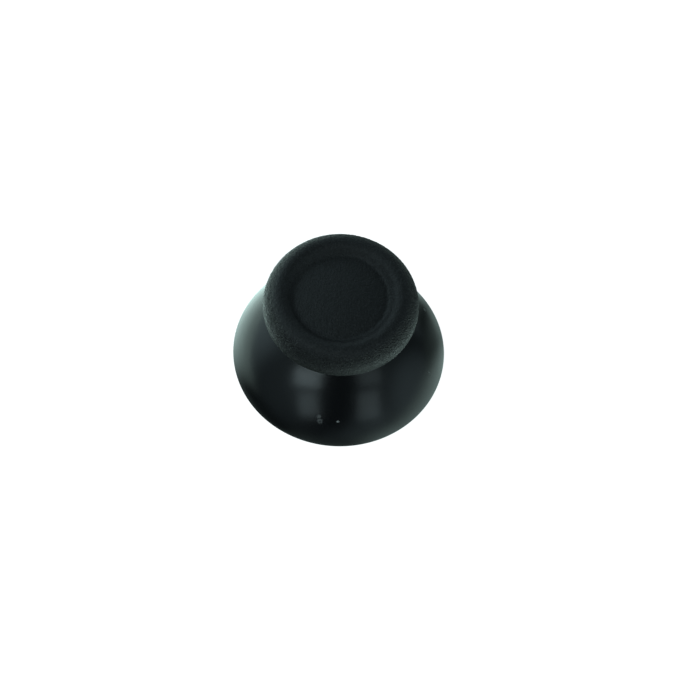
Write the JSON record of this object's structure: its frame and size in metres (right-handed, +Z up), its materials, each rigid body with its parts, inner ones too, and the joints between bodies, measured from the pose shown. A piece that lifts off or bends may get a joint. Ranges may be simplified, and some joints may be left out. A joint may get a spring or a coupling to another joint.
{
  "type": "thumb stick",
  "caption": "Analog stick cap for a game controller: domed plastic skirt, waisted neck and a socket for the sensor's lever, with a soft over-moulded grip that has a dished top",
  "frame": {"origin": "middle of the ring that the skirt stands on, at the lowest point", "axes": "+Z up along the stick, from the skirt to the grip; -Y is the side that the picture shows in front; the lever's flats face -Y and +Y"},
  "size_m": [0.025, 0.025, 0.0144],
  "materials": {
    "stick_plastic": "satin, moulded",
    "grip_rubber": "matte, fine moulded grain"
  },
  "bodies": {
    "root": {"stick_body": "stick_plastic", "grip_pad": "grip_rubber"}
  },
  "joints": []
}
